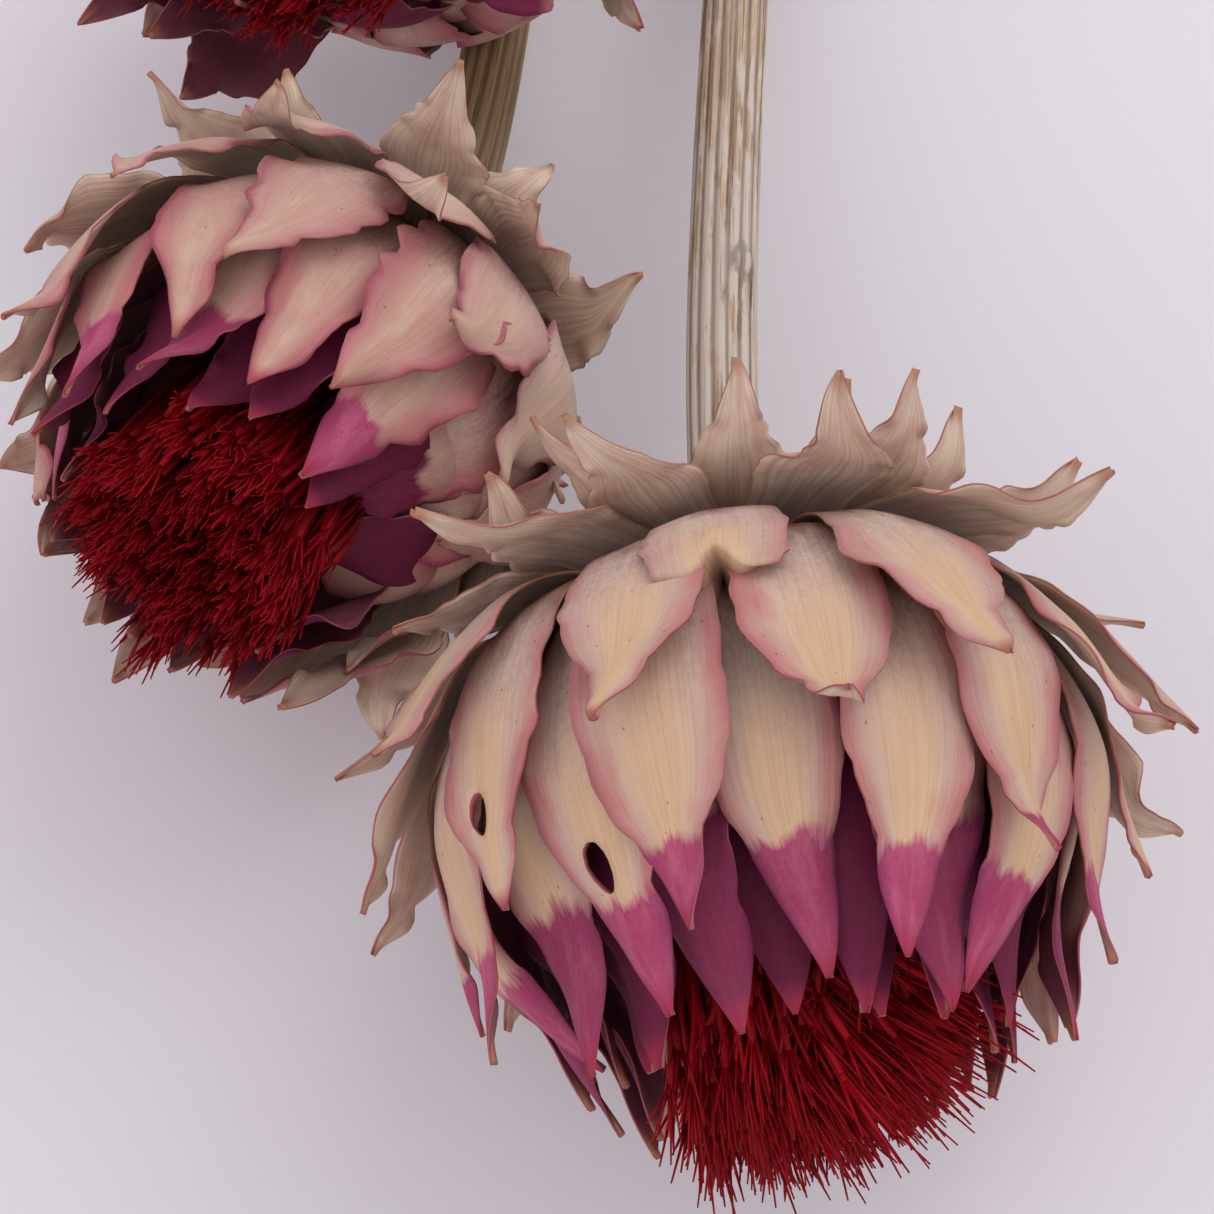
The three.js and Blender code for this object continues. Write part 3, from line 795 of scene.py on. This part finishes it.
def floret_curve(flower, draw):
    """The four control points of one floret, in the head's frame, and how near the outside it is."""
    share = math.sqrt(draw.random())
    turn = draw.uniform(0, 2 * math.pi)
    across = Vector((math.cos(turn), math.sin(turn), 0))
    shared = noise.noise_vector(across * share * 3.4 + Vector((0, 0, flower.seed)))
    length = flower.tuft * draw.uniform(0.88, 1.0) * (1 + 0.08 * shared.z)
    length *= 1 - flower.hollow * smooth(0.5, 0.05, share)
    top = Vector((0, 0, HEART_TOP))
    root = across * share * ROOT_RADIUS + top
    rise = across * share * RISE_RADIUS + top + Vector((0, 0, length * RISE_SHARE))
    mouth = across * (flower.mouth * share) + top + Vector((0, 0, length * MOUTH_SHARE))
    tip = across * (flower.fan * share) + top + Vector((0, 0, length))
    tip += Vector((shared.x, shared.y, 0)) * flower.clumping
    if flower.swept:
        lower = 0.5 - 0.5 * math.cos(turn - 0.9)
        tip += Vector((-2, 0, -16 * (1 - lower) * share))
        if draw.random() < flower.swept:
            mouth, tip = swept_over(draw)
            rise = Vector((mouth.x * 0.9, mouth.y * 0.9, FALLEN_RISE))
            share = 1
    jitter = Vector((draw.gauss(0, 0.8), draw.gauss(0, 0.8), draw.gauss(0, 1.2)))
    return [root, rise, mouth, tip + jitter], share


def swept_over(draw):
    """The mouth and tip of a floret that lies over the others, fanned out from one side of the mouth."""
    layer = mix(*FALLEN_LAYERS, draw.random())
    heading = math.radians(mix(*FALLEN_HEADINGS, draw.random() ** 0.8))
    reach = draw.uniform(0.91, 1.0) * mix(*FALLEN_REACH, math.sin(heading * 2))
    pivot = FALLEN_MOUTH + Vector((draw.gauss(4, 4), layer, draw.gauss(0, 2)))
    sink = -6 * math.cos(heading)
    tip = pivot + Vector((math.cos(heading) * reach, sink, math.sin(heading) * reach * 0.92))
    return pivot, tip


def on_curve(points, t):
    a, b, c, d = points
    place = a * (1 - t) ** 3 + b * 3 * t * (1 - t) ** 2 + c * 3 * t**2 * (1 - t) + d * t**3
    run = (b - a) * (1 - t) ** 2 + (c - b) * 2 * t * (1 - t) + (d - c) * t**2
    return place, run.normalized()


def tuft(flower):
    draw = random.Random(flower.seed)
    bm = bmesh.new()
    thread = bm.verts.layers.float_vector.new("thread")
    for _ in range(flower.florets):
        points, share = floret_curve(flower, draw)
        spin = draw.uniform(0, math.pi)
        tone = 0.5 + 0.8 * noise.noise(points[3] * 0.22) + draw.uniform(-0.25, 0.25)
        start = len(bm.verts)
        bm.from_mesh(STRAIGHT_FLORET)
        bm.verts.ensure_lookup_table()
        for vert in bm.verts[start:]:
            along = min(1, max(0, vert.co.z))
            place, run = on_curve(points, along)
            side = run.cross(Vector((math.cos(spin), math.sin(spin), 0.1))).normalized()
            other = run.cross(side)
            sway = noise.noise_vector(Vector((spin * 9, tone * 9, along * 2.6)))
            place += (side * sway.x + other * sway.y) * SWAY * along
            spot = flower.place @ (place + side * vert.co.x + other * vert.co.y)
            spot.z = max(spot.z, 0.0006)
            vert.co = spot
            vert[thread] = (along, tone, share)
    for face in bm.faces:
        face.smooth = True
    mesh = bpy.data.meshes.new(f"{flower.name}_florets")
    bm.to_mesh(mesh)
    bm.free()
    mesh.materials.append(FLORET_FINISH)
    piece = bpy.data.objects.new(mesh.name, mesh)
    bpy.context.scene.collection.objects.link(piece)
    keep(piece, f"{flower.name}_floret_tuft")
    return piece


for flower in FLOWERS:
    piece = tuft(flower)
    print(piece.name, len(piece.data.polygons), "faces")

# %% [markdown]
# ## Stems
#
# An artichoke stem dries into a stiff, ribbed straw. A ring is extruded step by step along the stem's own
# curve, and its corners follow a rib pattern, so that the grooves are real. The front stem also has the
# scar of a dropped leaf, a low bump with a dark rim. The far end is cut across, with a sunken pith.

# %% Finish of the stems
def stem_finish(name, light, dark, worn_colour):
    n = Nodes(name)
    grain = n.add("Attribute", attribute_name="grain").outputs["Vector"]
    rib = n.add("Attribute", attribute_name="rib").outputs["Fac"]
    fibre_place = n.add("Mapping", {"Vector": grain, "Scale": (11.0, 11.0, 1.1)}).outputs[0]
    fibre = n.grain(fibre_place, 1.0, 5.0, 0.7)
    patch_place = n.add("Mapping", {"Vector": grain, "Scale": (2.2, 2.2, 2.6)}).outputs[0]
    patch = n.grain(patch_place, 1.0, 5.0, 0.65)
    colour = n.blend(n.ramp(fibre, 0.36, 0.56), dark, light)
    # The skin has weathered to a whitish grey, most of all near the head.
    length = n.add("SeparateXYZ", {"Vector": grain}).outputs[2]
    worn = n.math("ADD", patch, n.ramp(length, 2.4, 1.8, 0.0, 0.12))
    worn = n.math("MULTIPLY", n.ramp(worn, 0.5, 0.6, 0.0, 0.85), n.ramp(fibre, 0.3, 0.5, 0.35, 1.0))
    colour = n.blend(worn, colour, worn_colour)
    # Painted shade: the grooves between the ribs are darkened. The same mask gives the leaf scar its own
    # dark rim.
    colour = n.blend(n.ramp(rib, 0.45, 0.0, 0.0, 0.6), colour, (0.09, 0.055, 0.035, 1))
    n.feed(n.shader.inputs["Base Color"], colour)
    n.feed(n.shader.inputs["Roughness"], n.ramp(fibre, 0.3, 0.7, 0.6, 0.85))
    n.shader.inputs["Specular IOR Level"].default_value = 0.3
    n.bump(fibre, 0.6, 0.0006)
    return n.material


GREY_STRAW = ((0.52, 0.39, 0.27, 1), (0.16, 0.1, 0.06, 1), (0.6, 0.52, 0.44, 1))
OLIVE_STRAW = ((0.36, 0.24, 0.11, 1), (0.12, 0.075, 0.03, 1), (0.3, 0.21, 0.11, 1))
STEM_FINISHES = {
    "front": stem_finish("stem_grey_straw", *GREY_STRAW),
    "left": stem_finish("stem_olive_straw", *OLIVE_STRAW),
}
STEM_FINISHES["back"] = STEM_FINISHES["left"]
print("stem finishes:", sorted(STEM_FINISHES))

# %% Extrude the stems
STEM_RIBS = 15
STEM_CORNERS = STEM_RIBS * 6
STEM_RINGS = 150
GRAIN_LENGTH = 6  # how long the grain coordinate is from the joint to the cut end
RIB_HEIGHT, RIB_WANDER = 0.06, 0.035  # as shares of the stem's radius
STEM_FLARE = 1.3  # how much wider the stem is where it meets the heart
LEAF_SCAR = (-0.95, 1.62)  # where a leaf has dropped from the front stem: round it, and along its grain
SCAR_SIZE = (0.3, 0.07)
SCAR_HEIGHT = 1.1


def stem(flower):
    draw = random.Random(flower.seed + 5)
    phase = draw.uniform(0, 50)
    bm = bmesh.new()
    grain = bm.verts.layers.float_vector.new("grain")
    rib = bm.verts.layers.float.new("rib")
    ring = bmesh.ops.create_circle(bm, segments=STEM_CORNERS, radius=1)["verts"]
    angles = [math.atan2(vert.co.y, vert.co.x) for vert in ring]
    edges = bm.edges[:]
    side = Vector((1, 0, 0))
    for step in range(STEM_RINGS + 1):
        share = step / STEM_RINGS
        middle = flower.stem_line(share)
        ahead = flower.stem_line(min(1, share + 0.01)) - flower.stem_line(max(0, share - 0.01))
        run = ahead.normalized()
        side = (side - run * side.dot(run)).normalized()
        up = run.cross(side)
        length = share * GRAIN_LENGTH
        for vert, angle in zip(ring, angles):
            wander = noise.noise(Vector((math.cos(angle), math.sin(angle), length * 0.4 + phase)))
            ridge = math.cos(STEM_RIBS * angle + wander * 1.6)
            height = 0.5 + 0.5 * ridge
            radius = STEM_RADIUS * (0.945 + RIB_HEIGHT * height + RIB_WANDER * wander)
            radius += STEM_FLARE * math.exp(-((share * 30) ** 2))
            if flower.name == "front":
                scar = [(a - b) / c for a, b, c in zip((angle, length), LEAF_SCAR, SCAR_SIZE)]
                away = math.hypot(*scar)
                radius += SCAR_HEIGHT * math.exp(-away * away)
                height *= 1 - 0.95 * math.exp(-(((away - 1.1) / 0.5) ** 2))
            vert.co = middle + (side * math.cos(angle) + up * math.sin(angle)) * radius * MM
            vert[grain] = (math.cos(angle), math.sin(angle), length)
            vert[rib] = height
        if step < STEM_RINGS:
            grown = bmesh.ops.extrude_edge_only(bm, edges=edges)["geom"]
            ring = sorted_ring(grown, ring)
            edges = [part for part in grown if isinstance(part, bmesh.types.BMEdge)]
    cut = bmesh.ops.edgeloop_fill(bm, edges=edges)["faces"]
    bmesh.ops.inset_region(bm, faces=cut, thickness=1.5 * MM, depth=-0.8 * MM, use_even_offset=True)
    bmesh.ops.recalc_face_normals(bm, faces=bm.faces[:])
    for face in bm.faces:
        face.smooth = True
    mesh = bpy.data.meshes.new(f"{flower.name}_cut_stem")
    bm.to_mesh(mesh)
    bm.free()
    mesh.materials.append(STEM_FINISHES[flower.name])
    piece = bpy.data.objects.new(mesh.name, mesh)
    bpy.context.scene.collection.objects.link(piece)
    keep(piece, f"{flower.name}_stem")
    return piece


def sorted_ring(grown, before):
    """The new ring's corners in the order of the ring that they were extruded from."""
    fresh = {part for part in grown if isinstance(part, bmesh.types.BMVert)}
    return [next(e.other_vert(v) for e in v.link_edges if e.other_vert(v) in fresh) for v in before]


for flower in FLOWERS:
    piece = stem(flower)
    print(piece.name, len(piece.data.polygons), "faces")

# %% [markdown]
# ## Hearts
#
# The heart is the fleshy saucer that everything grows from. It is mostly hidden, but it shows between the
# lowest bracts. Its profile is spun round the axis, then dimpled with the scars of the bracts.

# %% Spin the hearts
def heart_finish():
    n = Nodes("heart_pith")
    place = n.add("TexCoord").outputs["Object"]
    tone = n.grain(place, 160.0, 4.0)
    colour = n.blend(n.ramp(tone, 0.35, 0.65), (0.12, 0.06, 0.03, 1), (0.32, 0.2, 0.12, 1))
    n.feed(n.shader.inputs["Base Color"], colour)
    n.feed(n.shader.inputs["Roughness"], n.ramp(tone, 0.3, 0.7, 0.7, 0.9))
    n.bump(tone, 0.5, 0.001)
    return n.material


HEART_FINISH = heart_finish()


def heart(flower):
    bm = bmesh.new()
    corners = [bm.verts.new((radius, 0, height)) for radius, height in HEART_PROFILE]
    edges = [bm.edges.new(pair) for pair in zip(corners, corners[1:])]
    bmesh.ops.subdivide_edges(bm, edges=edges, cuts=2)
    around = {"cent": (0, 0, 0), "axis": (0, 0, 1), "angle": 2 * math.pi, "steps": 52, "use_merge": True}
    bmesh.ops.spin(bm, geom=bm.verts[:] + bm.edges[:], **around)
    bmesh.ops.remove_doubles(bm, verts=bm.verts[:], dist=0.001)
    for vert in bm.verts:
        dimple = noise.noise(vert.co * 0.35) * 0.5
        vert.co += Vector((vert.co.x, vert.co.y, 0)).normalized() * min(0, dimple)
    bmesh.ops.transform(bm, matrix=flower.place, verts=bm.verts[:])
    bmesh.ops.recalc_face_normals(bm, faces=bm.faces[:])
    for face in bm.faces:
        face.smooth = True
    mesh = bpy.data.meshes.new(f"{flower.name}_receptacle")
    bm.to_mesh(mesh)
    bm.free()
    mesh.materials.append(HEART_FINISH)
    piece = bpy.data.objects.new(mesh.name, mesh)
    bpy.context.scene.collection.objects.link(piece)
    keep(piece, f"{flower.name}_heart")
    return piece


for flower in FLOWERS:
    piece = heart(flower)
    print(piece.name, len(piece.data.polygons), "faces")

# %% [markdown]
# ## Table, light and camera
#
# The bunch lies on a pale board in soft daylight, a little stronger from the right. The camera looks
# steeply down on the front head, with the stems running away from it, and has no depth of field.

# %% The table
def table():
    bm = bmesh.new()
    bmesh.ops.create_grid(bm, x_segments=8, y_segments=8, size=4)
    mesh = bpy.data.meshes.new("table_top")
    bm.to_mesh(mesh)
    bm.free()
    n = Nodes("pale_board")
    tone = n.grain(n.add("TexCoord").outputs["Object"], 900.0, 2.0)
    n.feed(n.shader.inputs["Base Color"], n.blend(tone, (0.675, 0.64, 0.675, 1), (0.705, 0.67, 0.705, 1)))
    n.shader.inputs["Roughness"].default_value = 0.85
    n.bump(tone, 0.05, 0.0002)
    mesh.materials.append(n.material)
    board = bpy.data.objects.new("table_top", mesh)
    bpy.context.scene.collection.objects.link(board)
    return board


print("table:", table().name)

# %% Lights
def area_light(name, place, aim, size, power, colour):
    lamp = bpy.data.lights.new(name, "AREA")
    lamp.shape = "DISK"
    lamp.size, lamp.energy, lamp.color = size, power, colour
    light = bpy.data.objects.new(name, lamp)
    light.location = place
    light.rotation_euler = (Vector(aim) - Vector(place)).to_track_quat("-Z", "Y").to_euler()
    bpy.context.scene.collection.objects.link(light)
    return light


FRONT = FLOWERS[0].belly
WINDOW = {"size": 1.1, "power": 5.5, "colour": (1, 0.98, 0.97)}
FILL = {"size": 1.4, "power": 3, "colour": (0.98, 0.97, 1)}
area_light("window", FRONT + Vector((0.5, 0.75, 1.1)), FRONT, **WINDOW)
area_light("fill", FRONT + Vector((-0.9, -0.6, 1.0)), FRONT, **FILL)
world = bpy.data.worlds.new("soft_room")
world.use_nodes = True
world.node_tree.nodes["Background"].inputs["Color"].default_value = (0.92, 0.9, 0.95, 1)
world.node_tree.nodes["Background"].inputs["Strength"].default_value = 0.97
bpy.context.scene.world = world
bpy.context.scene.view_settings.view_transform = "Standard"
print("two lamps and a soft room")

# %% Camera
CAMERA_DISTANCE = 0.477
VIEW = Vector((0, -0.375, 0.927))  # from what is looked at to the camera
UP = Vector((0, 0.927, 0.375))
lens = bpy.data.cameras.new("camera")
lens.lens, lens.sensor_width = 85, 36
lens.clip_start = 0.01
camera = bpy.data.objects.new("camera", lens)
aim = FRONT + Vector((-0.024, 0.026, -0.011))
turn = Matrix((Vector((1, 0, 0)), UP, VIEW)).transposed().to_4x4()
camera.matrix_world = Matrix.Translation(aim + VIEW * CAMERA_DISTANCE) @ turn
bpy.context.scene.collection.objects.link(camera)
bpy.context.scene.camera = camera
print("camera at", [round(c, 3) for c in camera.location])

# %% Update the scene and finish
bpy.context.view_layer.update()
